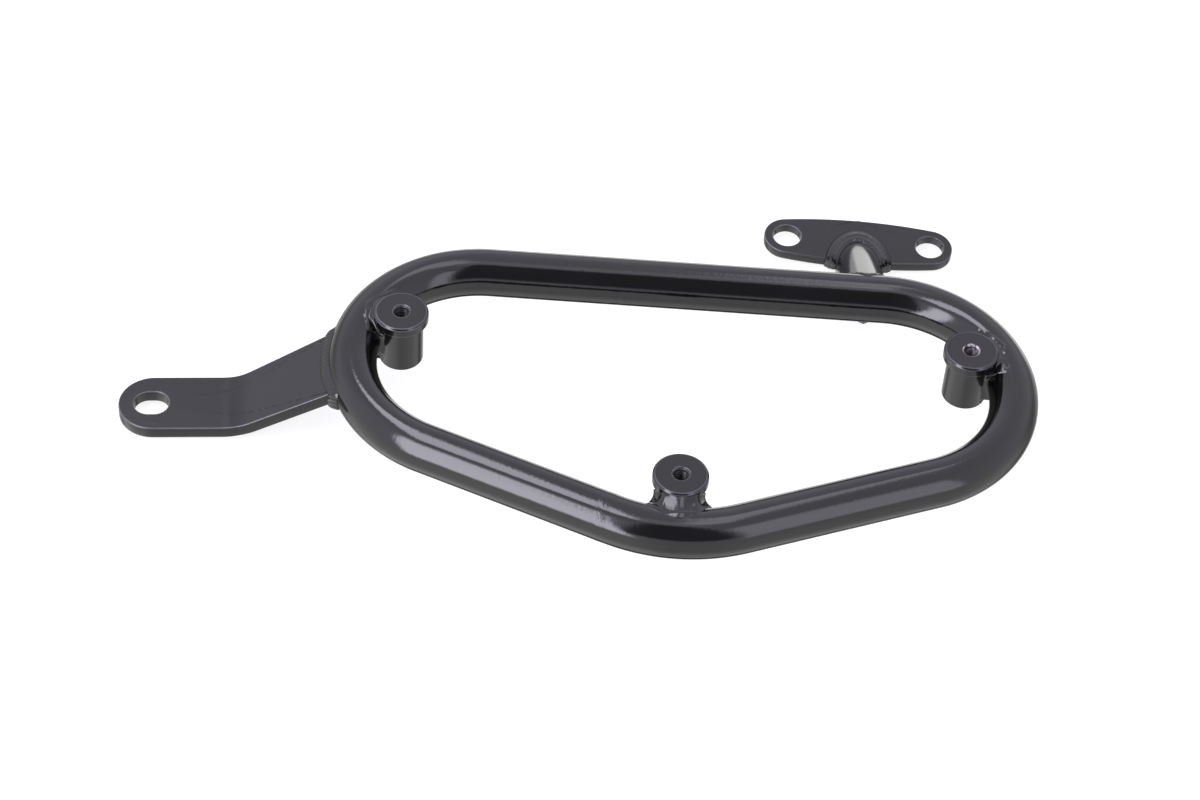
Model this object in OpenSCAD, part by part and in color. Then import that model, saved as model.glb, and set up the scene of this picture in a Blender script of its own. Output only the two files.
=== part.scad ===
// Pannier frame: a bent tube loop with three threaded bosses for a bag's
// fittings, a cranked strap and a two-hole flange that bolt it to the motorbike.
// Millimetres. The loop's centre plane is z = 0 and the boss faces look up (+Z).
// The origin is on the front boss's thread axis, in the loop's centre plane.

/* [Loop] */
// Outer diameter of the loop's tube
tube_d = 18; // [16:0.5:20]
// Wall thickness of the loop's tube
tube_wall = 2; // [1.5:0.25:3]
// Width of the loop, over the outside of the tube
loop_w = 262; // [250:1:290]
// Depth of the loop, over the outside of the tube
loop_d = 142; // [138:1:160]
// Centreline radius of the two end bends
end_bend_r = 47.6; // [42:0.2:50]
// Centreline radius of the front bend
front_bend_r = 62; // [54:0.5:68]
// Distance of the tube's butt weld from the front bend, along the left side run
seam_back = 0; // [0:0.5:40]
// Width of the butt weld, ground nearly flush
seam_w = 5.4; // [5:0.2:10]
// Height of the butt weld above the tube
seam_h = 0.15; // [0.1:0.05:0.6]

/* [Bosses] */
// Height of the boss faces above the loop's centre plane
boss_top = 11.2; // [10.5:0.1:15]
// Length of a boss
boss_l = 23.6; // [20:0.2:32]
// Diameter of a boss's head
head_d = 20.2; // [18.5:0.1:24]
// Height of a boss's head
head_h = 3.9; // [2.5:0.1:5]
// Diameter of a boss's body
body_d = 16.3; // [14:0.1:18]
// Chamfer on the rim of a boss's face
head_chamfer = 0.7; // [0.3:0.1:1.2]
// Chamfer at the foot of a boss
foot_chamfer = 0.6; // [0.3:0.1:1.2]
// Wall diameter of the tapped hole, the tapping size of an M6 thread
thread_d = 5; // [4.2:0.1:6.8]
// Diameter of the countersink at the thread's mouth
mouth_d = 7.4; // [7:0.1:9]
// Depth to which an end boss is notched over the tube
end_boss_bite = 3.1; // [2:0.1:4]
// Gap between the front boss and the tube, bridged by its weld
front_boss_gap = 1.2; // [0.4:0.1:2]
// Turn of an end boss back from the loop's long axis, about its end bend
end_boss_turn = 22.7; // [15:0.1:30]

/* [Strap] */
// Thickness of the strap
strap_t = 5; // [4:0.5:6]
// Width of the strap at its eye
strap_w = 26; // [22:0.5:32]
// Distance from the outside of the tube to the middle of the slot
strap_reach = 65.2; // [56:0.2:80]
// Length of the flat eye end, from the middle of the slot to the crank
strap_flat = 31.6; // [27:0.1:36]
// Metal between the slot and the tip of the eye
eye_wall = 5.6; // [4:0.1:8]
// Depth of the flat eye end's upper face below the loop's centre plane
strap_drop = 19; // [17:0.2:21]
// Height at which the strap's upper face meets the tube
strap_land = 1.2; // [0:0.1:3]
// Inside radius of the crank
crank_r = 20; // [8:0.5:24]
// Spread of each side of the strap, from the crank to the tube
strap_flare = 3.3; // [0:0.1:6]
// Turn of the strap forward from the loop's long axis
strap_turn = 5.7; // [0:0.1:12]
// Shift of the strap's middle line forward of the end bend's centre
strap_shift = 1.6; // [-3:0.1:4]
// Width of the slot in the strap's eye
slot_w = 11; // [8:0.5:13]
// Length of the slot in the strap's eye
slot_l = 13; // [11:0.5:16]

/* [Flange] */
// Thickness of the flange
flange_t = 4; // [3:0.5:6]
// Distance between the flange's two holes
hole_span = 56.4; // [50:0.2:66]
// Diameter of the flange's holes
hole_d = 11; // [8:0.5:13]
// Radius of the flange's ends
flange_end_r = 9; // [8:0.1:9.8]
// Width of the flange at its middle
flange_mid_w = 22.2; // [20.4:0.2:28]
// Distance of the flange's middle from the start of the right end bend
flange_in = 6.6; // [6:0.2:34]
// Distance from the rear run's centreline back to the flange's middle line
flange_back = 52.1; // [48:0.1:58]
// Height of the flange's upper face below the loop's centre plane
flange_drop = 20; // [16:0.2:22]
// Tilt of the flange towards the loop
flange_tilt = 3.4; // [0:0.1:6]
// Turn of the flange in its own plane
flange_turn = -1.2; // [-4:0.1:4]
// Diameter of the round bar that carries the flange
stub_d = 18; // [14:0.5:18]
// Angle by which the bar falls from the loop to the flange
stub_fall = 29.5; // [27:0.5:32]

/* [Welds] */
// Length of a boss's weld along the tube
web_span = 27; // [20:0.5:32]
// Turn of the weld about the boss, to each side
web_turn = 72; // [60:1:80]
// Dish of a boss weld's face
web_dish = 0.9; // [0.2:0.1:1.4]
// Drop of a boss weld's upper edge towards its ends
web_fall = 5; // [2:0.1:6]
// Height of the lower weld's edge above the boss's foot
web_foot = 1.6; // [1:0.1:5]
// Turn of the weld's toe down the tube towards its ends
web_lean = 17; // [5:1:30]
// Leg of the weld round the strap's end
strap_leg = 3.4; // [2:0.1:5]
// Leg of the weld between the bar and the tube
stub_leg = 3.2; // [2:0.1:4.5]
// Leg of the weld between the bar and the flange
flange_leg = 4.4; // [2:0.1:5.5]
// Swell of a weld's face, as a share of its width
crown = 0.12; // [0:0.01:0.2]

/* [Hidden] */

$fn = 96;
coat = [0.16, 0.16, 0.17];
far = 300;
tube_r = tube_d / 2;
bore_r = tube_r - tube_wall;
body_r = body_d / 2;
head_r = head_d / 2;
stub_r = stub_d / 2;
head_floor = boss_top - head_h;
boss_foot = boss_top - boss_l;
front_boss_in = tube_r + body_r + front_boss_gap;
end_boss_in = tube_r + body_r - end_boss_bite;
front_y = front_bend_r - front_boss_in;
rear_y = loop_d - tube_d - front_boss_in;
end_x = (loop_w - tube_d) / 2 - end_bend_r;
end_y = rear_y - end_bend_r;
// Distance from the front bend's centre to an end bend's centre, and its direction
bend_gap = norm([end_x, end_y - front_y]);
lean = atan2(end_y - front_y, end_x);
// Half the front bend's sweep, and the length of a side run
side_turn = 90 + lean - acos((front_bend_r - end_bend_r) / bend_gap);
side_l = sqrt(pow(bend_gap, 2) - pow(front_bend_r - end_bend_r, 2));
// Half the width of the butt weld's V at the outside and at the bore
seam_v = 1.8;
seam_root = 0.6;
seam_at = seam_back + seam_w / 2;
flange_x = end_x - flange_in;
// How short a piece stops of the next, and the length of the core that joins them
hair = 0.03;
core_l = 1;
// Gap left where the bar's notched end fits over the tube
fit_gap = 0.1;
// Half the height of the notch at a boss weld's ends, its reach round the boss and its
// reach along the tube, at an end boss and at the front boss
web_notch = 1.5;
end_notch_turn = 69;
end_notch_l = 10.4;
front_notch_turn = 50;
front_notch_l = 8.7;
// Turns from the bar's top line between which its skin crosses the flange's near edge
edge_low = 20;
edge_high = 160;
// Points across a weld's face, and rings along a weld
face_steps = 4;
ring_steps = 48;

// A unit vector
function unit(v) = v / norm(v);

// The bend round the front boss, over a section in the plane of X and Z
module front_bend(r, inner) {
    translate([0, front_y, 0])
        rotate(-90 - side_turn)
            rotate_extrude(angle = 2 * side_turn)
                translate([front_bend_r, 0]) ring(r, inner);
}

// The bend at one end of the loop, side -1 or 1
module end_bend(side, r, inner) {
    translate([side * end_x, end_y, 0])
        rotate(side > 0 ? side_turn - 90 : 90)
            rotate_extrude(angle = 180 - side_turn)
                translate([end_bend_r, 0]) ring(r, inner);
}

// A tube's section, solid where inner is zero
module ring(r, inner) {
    difference() {
        circle(r);
        if (inner > 0) circle(inner);
    }
}

// Puts its children at the front end of a side run, with Z along the run
module on_side_run(side) {
    translate([0, front_y, 0])
        rotate(side * side_turn - 90)
            translate([front_bend_r, 0, 0])
                rotate([side * -90, 0, 0])
                    children();
}

// A straight stretch of the tube from one place to another along Z. Each end stops
// a hair short of the bend there, and a core just inside the skin joins the two.
module stretch(from, to, bend_from, bend_to) {
    translate([0, 0, from + hair])
        linear_extrude(to - from - 2 * hair) ring(tube_r, bore_r);
    for (z = concat(bend_from ? [from] : [], bend_to ? [to] : []))
        translate([0, 0, z - core_l / 2])
            linear_extrude(core_l) ring(tube_r - hair, bore_r + hair);
}

// The butt weld's turned section: a V through the wall, under a low cap that is
// cap high and reaches width to each side
module seam_ring(depth, width, cap) {
    on_side_run(-1)
        translate([0, 0, seam_at])
            rotate_extrude()
                polygon([
                    [bore_r - depth, -seam_root],
                    [bore_r, -seam_root],
                    [tube_r, -seam_v],
                    [tube_r, -width],
                    [tube_r + cap, 1 - width],
                    [tube_r + cap, width - 1],
                    [tube_r, width],
                    [tube_r, seam_v],
                    [bore_r, seam_root],
                    [bore_r - depth, seam_root]
                ]);
}

module loop_tube() {
    color(coat) difference() {
        union() {
            front_bend(tube_r, bore_r);
            end_bend(-1, tube_r, bore_r);
            end_bend(1, tube_r, bore_r);
            on_side_run(-1) stretch(0, seam_at - seam_root, true, false);
            on_side_run(-1) stretch(seam_at + seam_root, side_l, false, true);
            on_side_run(1) stretch(0, side_l, true, true);
            translate([-end_x, rear_y, 0])
                rotate([0, 90, 0])
                    stretch(0, 2 * end_x, true, true);
        }
        seam_ring(1, seam_w / 2, 1);
    }
}

module loop_seam_weld() {
    color(coat) seam_ring(0, seam_w / 2, seam_h);
}

// A turned boss: its foot, body and head, tapped through and countersunk
module boss_blank() {
    rotate_extrude()
        polygon([
            [thread_d / 2, boss_foot],
            [body_r - foot_chamfer, boss_foot],
            [body_r, boss_foot + foot_chamfer],
            [body_r, head_floor],
            [head_r, head_floor],
            [head_r, boss_top - head_chamfer],
            [head_r - head_chamfer, boss_top],
            [mouth_d / 2, boss_top],
            [thread_d / 2, boss_top - (mouth_d - thread_d) / 2]
        ]);
}

module front_boss() {
    color(coat) difference() {
        boss_blank();
        front_bend(tube_r, 0);
    }
}

// Puts its children at an end boss, with X pointing to the tube
module at_end_boss(side) {
    turn = side > 0 ? end_boss_turn : 180 - end_boss_turn;
    translate([side * end_x, end_y, 0])
        rotate(turn)
            translate([end_bend_r - end_boss_in, 0, 0])
                children();
}

module end_boss(side) {
    color(coat) difference() {
        at_end_boss(side) boss_blank();
        end_bend(side, tube_r, 0);
    }
}

module left_boss() {
    end_boss(-1);
}

module right_boss() {
    end_boss(1);
}

// Welds are swept from rings. A ring runs over the weld's face from its toe on one
// piece to its toe on the tube, then back to its root along the tube.

// A solid from rings: a closed chain joins its ends, an open one has two caps
module skin(rings, closed) {
    n = len(rings[0]);
    m = len(rings);
    sides = [
        for (i = [0:closed ? m - 1 : m - 2], k = [0:n - 1], half = [0, 1])
            let (a = i * n, b = ((i + 1) % m) * n, j = (k + 1) % n)
                half == 0 ? [a + k, a + j, b + j] : [a + k, b + j, b + k]
    ];
    caps = closed ? [] : [
        [for (k = [n - 1:-1:0]) k],
        [for (k = [0:n - 1]) (m - 1) * n + k]
    ];
    polyhedron(points = [for (ring = rings, p = ring) p], faces = concat(sides, caps));
}

// The face between two toes, swelling outward by a height
function weld_face(toe_a, toe_b, out, height) = [
    for (k = [0:face_steps])
        let (s = k / face_steps)
            toe_a * (1 - s) + toe_b * s + unit(out) * 4 * s * (1 - s) * height
];

// The point of a bend's skin nearest to p
function on_bend(p, centre, bend_r) =
    let (core = centre + bend_r * unit([p.x - centre.x, p.y - centre.y, 0]))
        core + tube_r * unit(p - core);

// The way back along a bend's skin from a toe to a root
function back_on_bend(toe, root, centre, bend_r) = [
    for (s = [1 / 3, 2 / 3]) on_bend(toe * (1 - s) + root * s, centre, bend_r)
];

// The weld of a boss, in the boss's own place with X pointing to the tube and the
// bend's centre at [-bend_in, 0]. It fills the valleys over and under the joint, from
// the boss to the crest of the tube, and ends in a notch at each side.
chain_n = 5;
web_steps = 8;
sunk = 0.3;

function polar(r, turn, z) = [r * cos(turn), r * sin(turn), z];

function ease(x, from, to) =
    let (s = min(1, max(0, (x - from) / (to - from)))) s * s * (3 - 2 * s);

// A point just under the tube's skin, at an angle along the bend and one round the tube
function in_tube(bend_in, bend_r, along, round) =
    polar(bend_r + (tube_r - sunk) * cos(round), along, (tube_r - sunk) * sin(round))
    - [bend_in, 0, 0];

// The upper face from the boss's head to the tube, at u from -1 to 1 along the weld
function web_top(u, bend_in, bend_r) =
    let (
        turn = u * web_turn,
        along = u * web_span / 2 / bend_r * 180 / PI,
        fall = ease(abs(u), 0.45, 1),
        head = polar(head_r - sunk, turn, boss_top - head_chamfer - sunk - web_fall * fall),
        inside = polar(body_r - sunk, turn, min(head.z, head_floor + sunk)),
        crest = in_tube(bend_in, bend_r, along, 88 + web_lean * u * u)
    )
    concat([inside], dished(head, crest, -web_dish));

// The lower face, from the boss's body to the underside of the tube
function web_low(u, bend_in, bend_r) =
    let (
        turn = u * web_turn,
        along = u * web_span / 2 / bend_r * 180 / PI,
        fall = ease(abs(u), 0.45, 1),
        body = polar(body_r - sunk, turn, web_foot - boss_l + boss_top + web_fall * fall),
        inside = polar(body_r - 2 * sunk, turn, body.z + 1),
        crest = in_tube(bend_in, bend_r, along, -95 - web_lean * u * u)
    )
    concat([inside], dished(body, crest, web_dish));

function dished(a, b, height) = [
    for (k = [0:chain_n - 1])
        let (s = k / (chain_n - 1)) a * (1 - s) + b * s + [0, 0, 4 * s * (1 - s) * height]
];

// The notch's floor between the two faces, side 1 for its upper edge and -1 below
function web_mid(u, side, bend_in, bend_r, turn, along) =
    let (
        a = polar(body_r - sunk, u * turn, side * web_notch),
        b = in_tube(bend_in, bend_r, u * along, 180 - side * asin(web_notch / (tube_r - sunk)))
    )
    [for (k = [0:chain_n]) a + k / chain_n * (b - a)];

module boss_web(bend_in, bend_r, turn, reach) {
    along = reach / bend_r * 180 / PI;
    n = chain_n + 1;
    m = 2 * n + 4;
    rings = [
        for (i = [-web_steps:web_steps])
            let (
                u = i / web_steps,
                top = web_top(u, bend_in, bend_r),
                low = web_low(u, bend_in, bend_r),
                up = web_mid(u, 1, bend_in, bend_r, turn, along),
                down = web_mid(u, -1, bend_in, bend_r, turn, along)
            )
            concat(
                top, [up[n - 1], down[n - 1]],
                [for (k = [n - 1:-1:0]) low[k]], [down[0], up[0]]
            )
    ];
    last = 2 * web_steps;
    // The places of an end's four chains in the list of points, where the inner points
    // of the notch's two chains follow the rings
    free = (last + 1) * m;
    ends = [
        for (e = [0, 1])
            let (at = e * last * m, more = free + e * 2 * (n - 2))
            [
                [for (k = [0:n - 1]) at + k],
                concat([at + m - 1], [for (k = [0:n - 3]) more + k], [at + n]),
                concat([at + m - 2], [for (k = [0:n - 3]) more + n - 2 + k], [at + n + 1]),
                [for (k = [n - 1:-1:0]) at + n + 2 + k]
            ]
    ];
    notch = [
        for (u = [-1, 1], side = [1, -1])
            let (row = web_mid(u, side, bend_in, bend_r, turn, along))
                for (k = [1:n - 2]) row[k]
    ];
    skin_faces = [
        for (i = [0:last - 1], k = [0:m - 1], half = [0, 1])
            let (a = i * m, b = a + m, j = (k + 1) % m)
                half == 0 ? [a + k, a + j, b + j] : [a + k, b + j, b + k]
    ];
    end_faces = [
        for (e = [0, 1], row = [0:2], k = [0:n - 2], half = [0, 1])
            let (
                p = ends[e][row][k], q = ends[e][row][k + 1],
                s = ends[e][row + 1][k + 1], t = ends[e][row + 1][k],
                face = half == 0 ? [p, q, s] : [p, s, t]
            )
            e == 0 ? [face[0], face[2], face[1]] : face
    ];
    polyhedron(
        points = concat([for (ring = rings, p = ring) p], notch),
        faces = concat(skin_faces, end_faces)
    );
}

module end_boss_weld(side) {
    color(coat) difference() {
        at_end_boss(side) boss_web(end_bend_r - end_boss_in, end_bend_r, end_notch_turn, end_notch_l);
        at_end_boss(side) boss_plug();
        end_bend(side, tube_r, 0);
    }
}

module left_boss_weld() {
    end_boss_weld(-1);
}

module right_boss_weld() {
    end_boss_weld(1);
}

module front_boss_weld() {
    color(coat) difference() {
        rotate(-90) boss_web(front_y, front_bend_r, front_notch_turn, front_notch_l);
        boss_plug();
        front_bend(tube_r, 0);
        for (side = [-1, 1])
            on_side_run(side) cylinder(h = side_l, r = tube_r);
    }
}

// A boss without its thread, countersink and chamfers
module boss_plug() {
    translate([0, 0, boss_foot]) cylinder(h = boss_l, r = body_r);
    translate([0, 0, head_floor]) cylinder(h = head_h, r = head_r);
}

// The strap's place: X runs out from the left end bend's centre
module at_strap() {
    translate([-end_x, end_y, 0]) rotate(180 + strap_turn) translate([0, strap_shift, 0]) children();
}

strap_start = end_bend_r + 2;
slot_x = end_bend_r + tube_r + strap_reach;
eye_x = slot_x + slot_l / 2 + eye_wall - strap_w / 2;
crank_x = slot_x - strap_flat;
land_x = end_bend_r + tube_r;
strap_rise = atan2(strap_land + strap_drop, crank_x - land_x);
crank_tan = crank_r * tan(strap_rise / 2);
strap_high = strap_land + (land_x - strap_start) * tan(strap_rise);

// The strap's side view: a bent bar of even thickness. Its three stretches stop a
// hair short of each other, and cores just inside the skin join them.
module strap_side() {
    bend_x = crank_x + crank_tan;
    slope_l = (crank_x - strap_start) / cos(strap_rise) - crank_tan;
    translate([bend_x + hair, -strap_drop - strap_t])
        square([eye_x + strap_w / 2 - bend_x, strap_t]);
    translate([bend_x - core_l / 2, hair - strap_drop - strap_t])
        square([core_l, strap_t - 2 * hair]);
    translate([bend_x, crank_r - strap_drop])
        rotate(-90 - strap_rise)
            crank_sector(strap_rise);
    translate([strap_start, strap_high])
        rotate(-strap_rise) {
            translate([0, -strap_t])
                square([slope_l - hair, strap_t]);
            translate([slope_l - core_l / 2, hair - strap_t])
                square([core_l, strap_t - 2 * hair]);
        }
}

// The bent stretch of the side view, opened through an angle from the X axis
module crank_sector(angle) {
    intersection() {
        difference() {
            circle(crank_r + strap_t);
            circle(crank_r);
        }
        polygon([[0, 0], [far, 0], [far * cos(angle), far * sin(angle)]]);
    }
}

// The strap's outline from above: a round eye, then even sides, then a flare
module strap_plan() {
    half = strap_w / 2;
    spread = (crank_x - strap_start) / cos(strap_rise) * tan(strap_flare);
    translate([eye_x, 0]) circle(half);
    translate([crank_x, -half]) square([eye_x - crank_x, strap_w]);
    polygon([
        [crank_x, -half],
        [crank_x, half],
        [strap_start, half + spread],
        [strap_start, -half - spread]
    ]);
}

module strap_slot() {
    pad = (slot_l - slot_w) / 2;
    for (x = [slot_x - pad, slot_x + pad])
        translate([x, 0, -strap_drop - strap_t - 1]) cylinder(h = strap_t + 2, d = slot_w);
    translate([slot_x - pad, -slot_w / 2, -strap_drop - strap_t - 1])
        cube([2 * pad, slot_w, strap_t + 2]);
}

module strap() {
    color(coat) difference() {
        at_strap()
            intersection() {
                translate([0, far / 2, 0]) rotate([90, 0, 0]) linear_extrude(far) strap_side();
                translate([0, 0, -far / 2]) linear_extrude(far) strap_plan();
            }
        at_strap() strap_slot();
        end_bend(-1, tube_r, 0);
    }
}

// The weld round the strap's end, as rings round the strap's four faces.
// A point of the strap's section is a place across it and a depth under its upper
// face, and slides along the strap to the tube's skin.
strap_half = strap_w / 2 + (crank_x - land_x) / cos(strap_rise) * tan(strap_flare);
strap_dir = [cos(strap_rise), 0, -sin(strap_rise)];
strap_up = [sin(strap_rise), 0, cos(strap_rise)];

function strap_point(v, u) = [land_x, v, strap_land] - u * strap_up;

// Slides a point along the strap until it lies on the tube's skin
function slide_to_tube(p, s, count) =
    let (
        q = p + s * strap_dir,
        gap = norm([norm([q.x, q.y + strap_shift]) - end_bend_r, q.z]) - tube_r
    )
    count == 0 ? q : slide_to_tube(p, s - gap, count - 1);

// Stops of the walk round the section: place across, depth, and the way out there
walk_n = 12;
walk_m = 3;

function fan(i) = 90 * i / (walk_m + 1);

function strap_walk() =
    let (h = strap_half, t = strap_t)
    concat(
        [for (i = [0:walk_n]) [-h + 2 * h * i / walk_n, 0, 0, 1]],
        [for (i = [1:walk_m]) [h, 0, sin(fan(i)), cos(fan(i))]],
        [for (i = [0:2]) [h, t * i / 2, 1, 0]],
        [for (i = [1:walk_m]) [h, t, cos(fan(i)), -sin(fan(i))]],
        [for (i = [0:walk_n]) [h - 2 * h * i / walk_n, t, 0, -1]],
        [for (i = [1:walk_m]) [-h, t, -sin(fan(i)), -cos(fan(i))]],
        [for (i = [2:-1:0]) [-h, t * i / 2, -1, 0]],
        [for (i = [1:walk_m]) [-h, 0, -cos(fan(i)), sin(fan(i))]]
    );

function strap_ring(w) =
    let (
        centre = [0, -strap_shift, 0],
        root = slide_to_tube(strap_point(w[0], w[1]), 0, 12),
        out = w[2] * [0, 1, 0] + w[3] * strap_up,
        leg = strap_leg * (w[3] < -0.5 ? 0.6 : 1),
        toe_a = root + leg * strap_dir,
        toe_b = on_bend(root + leg * (out + 0.1 * strap_dir), centre, end_bend_r)
    )
    concat(
        weld_face(toe_a, toe_b, out + 0.6 * strap_dir, crown * norm(toe_b - toe_a)),
        back_on_bend(toe_b, root, centre, end_bend_r),
        [root]
    );

module strap_weld() {
    color(coat)
        at_strap()
            skin([for (w = strap_walk()) strap_ring(w)], true);
}

// The flange's place: its upper face is z = 0 and its holes lie along X
module at_flange() {
    translate([flange_x, rear_y + flange_back, -flange_drop])
        rotate([flange_tilt, 0, 0])
            rotate(flange_turn)
                children();
}

// The flange's outline: two round ends joined by two wide arcs tangent to them
swell = flange_mid_w / 2 - flange_end_r;
arc_back = (pow(hole_span / 2, 2) - pow(swell, 2)) / (2 * swell);
arc_r = arc_back + flange_mid_w / 2;
arc_turn = asin(hole_span / 2 / (arc_r - flange_end_r));
end_steps = 40;
arc_steps = 16;

// A quarter turn about the middle gives the arc of one side, then one end's arc
function flange_half(side) = concat(
    [for (i = [0:arc_steps - 1])
        let (a = 90 + arc_turn * (1 - 2 * i / arc_steps))
            side * [arc_r * cos(a), arc_r * sin(a) - arc_back]],
    [for (i = [0:end_steps - 1])
        let (a = 90 - arc_turn - (180 - 2 * arc_turn) * i / end_steps)
            side * [hole_span / 2 + flange_end_r * cos(a), flange_end_r * sin(a)]]
);

module flange_plan() {
    polygon(concat(flange_half(1), flange_half(-1)));
}

module flange() {
    color(coat)
        at_flange()
            difference() {
                translate([0, 0, -flange_t]) linear_extrude(flange_t) flange_plan();
                for (side = [-1, 1])
                    translate([side * hole_span / 2, 0, -flange_t - 1])
                        cylinder(h = flange_t + 2, d = hole_d);
            }
}

// The bar's place: Z runs down the bar from the rear run's centreline
module at_stub() {
    translate([flange_x, rear_y, 0]) rotate([-90 - stub_fall, 0, 0]) children();
}

module stub_bar() {
    color(coat) difference() {
        at_stub() cylinder(h = 2 * flange_back, r = stub_r);
        translate([flange_x - far / 2, rear_y, 0])
            rotate([0, 90, 0])
                cylinder(h = far, r = tube_r + fit_gap);
        at_flange() {
            translate([0, 0, -flange_t]) linear_extrude(flange_t) flange_plan();
            translate([-far / 2, -far / 2, -flange_t - far]) cube([far, far, far]);
        }
    }
}

// The bar's direction and its upper side, from the rear run's centreline
stub_dir = [0, cos(stub_fall), -sin(stub_fall)];
stub_up = [0, sin(stub_fall), cos(stub_fall)];

function on_run(p) = [p.x, 0, 0] + tube_r * unit([0, p.y, p.z]);

// Root of the weld round the bar's upper end, at a turn from the bar's top line
function stub_root(a) =
    stub_r * (sin(a) * [1, 0, 0] + cos(a) * stub_up)
    + sqrt(max(0, pow(tube_r, 2) - pow(stub_r * cos(a), 2))) * stub_dir;

function stub_ring(a) =
    let (
        root = stub_root(a),
        out = sin(a) * [1, 0, 0] + cos(a) * stub_up,
        open = abs(sin(a)),
        toe_a = root + stub_leg * (0.5 + 0.5 * open) * stub_dir,
        toe_b = on_run(root + stub_leg * (out * open - 0.5 * (1 - open) * stub_dir)),
        height = crown * norm(toe_b - toe_a) + 0.8 * (1 - open)
    )
    concat(
        weld_face(toe_a, toe_b, out + 0.4 * open * stub_dir, height),
        [for (s = [1 / 3, 2 / 3]) on_run(toe_b * (1 - s) + root * s)],
        [root]
    );

module stub_loop_weld() {
    color(coat)
        translate([flange_x, rear_y, 0])
            skin([for (i = [0:ring_steps - 1]) stub_ring(i * 360 / ring_steps)], true);
}

// The weld on the flange: an arch round the bar on the upper face that turns down
// the flange's near edge. It is worked out in the flange's place without its turn.
bar_dir = [0, cos(stub_fall + flange_tilt), -sin(stub_fall + flange_tilt)];
bar_up = [0, sin(stub_fall + flange_tilt), cos(stub_fall + flange_tilt)];
bar_start = [
    0,
    -flange_back * cos(flange_tilt) + flange_drop * sin(flange_tilt),
    flange_back * sin(flange_tilt) + flange_drop * cos(flange_tilt)
];

// Where the bar's skin at a turn from its top line meets a height on the flange
function bar_point(a, z) =
    let (side = bar_start + stub_r * (sin(a) * [1, 0, 0] + cos(a) * bar_up))
        side + (z - side.z) / bar_dir.z * bar_dir;

// The near edge of the flange at a place along X, after the flange's turn
function near_edge(x) =
    arc_back * cos(flange_turn)
    - sqrt(pow(arc_r, 2) - pow(x + arc_back * sin(flange_turn), 2));

// The turn at which the bar's skin crosses the near edge at a height, by halving
function edge_turn(z, low, high, count) =
    let (mid = (low + high) / 2, p = bar_point(mid, z))
        count == 0 ? mid
        : p.y > near_edge(p.x) ? edge_turn(z, mid, high, count - 1)
        : edge_turn(z, low, mid, count - 1);

arch_end = edge_turn(0, edge_low, edge_high, 20);

// A ring of the arch on the upper face
function arch_ring(a) =
    let (
        root = bar_point(a, 0),
        step = bar_point(a + 1, 0) - bar_point(a - 1, 0),
        out = unit([-step.y, step.x, 0]),
        toe_a = bar_point(a, flange_leg * (0.62 + 0.2 * abs(sin(a)))),
        toe_b = root + flange_leg * out,
        lift = unit(toe_a - root)
    )
    concat(
        weld_face(toe_a, toe_b, out + lift, crown * norm(toe_b - toe_a)),
        [for (s = [1 / 3, 2 / 3]) toe_b * (1 - s) + root * s],
        [root]
    );

// A ring down the near edge, side -1 or 1, at a depth and a share of the way round
function edge_ring(side, depth, share) =
    let (
        root = bar_point(side * edge_turn(-depth, edge_low, edge_high, 20), -depth),
        out = [side, 0, 0],
        front = [0, -cos(90 * (1 - share)), sin(90 * (1 - share))],
        toe_a = root + flange_leg * (0.8 * front + 0.1 * out),
        toe_x = root.x + side * flange_leg,
        toe_b = [toe_x, near_edge(toe_x), -depth]
    )
    concat(
        weld_face(toe_a, toe_b, out + front, crown * norm(toe_b - toe_a)),
        [for (s = [1 / 3, 2 / 3]) toe_b * (1 - s) + root * s],
        [root]
    );

arch_steps = 24;

module stub_flange_weld() {
    down = [for (i = [0:3]) [flange_t * (1 - i / 3), 1]];
    bend = [for (i = [1:3]) [0, 1 - i / 4]];
    left = [for (d = concat(down, bend)) edge_ring(-1, d[0], d[1])];
    right = [for (d = concat(down, bend)) edge_ring(1, d[0], d[1])];
    arch = [for (i = [-arch_steps:arch_steps]) arch_ring(-i * arch_end / arch_steps)];
    color(coat)
        translate([flange_x, rear_y + flange_back, -flange_drop])
            rotate([flange_tilt, 0, 0])
                skin(concat(right, arch, [for (i = [len(left) - 1:-1:0]) left[i]]), false);
}

loop_tube();
loop_seam_weld();
front_boss();
left_boss();
right_boss();
front_boss_weld();
left_boss_weld();
right_boss_weld();
strap();
strap_weld();
stub_bar();
stub_loop_weld();
flange();
stub_flange_weld();
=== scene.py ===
"""Pannier frame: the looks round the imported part. Sizes are in millimetres in the part's
frame, with the loop's centre plane at z = 0 and the front boss's axis at the origin."""

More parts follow.
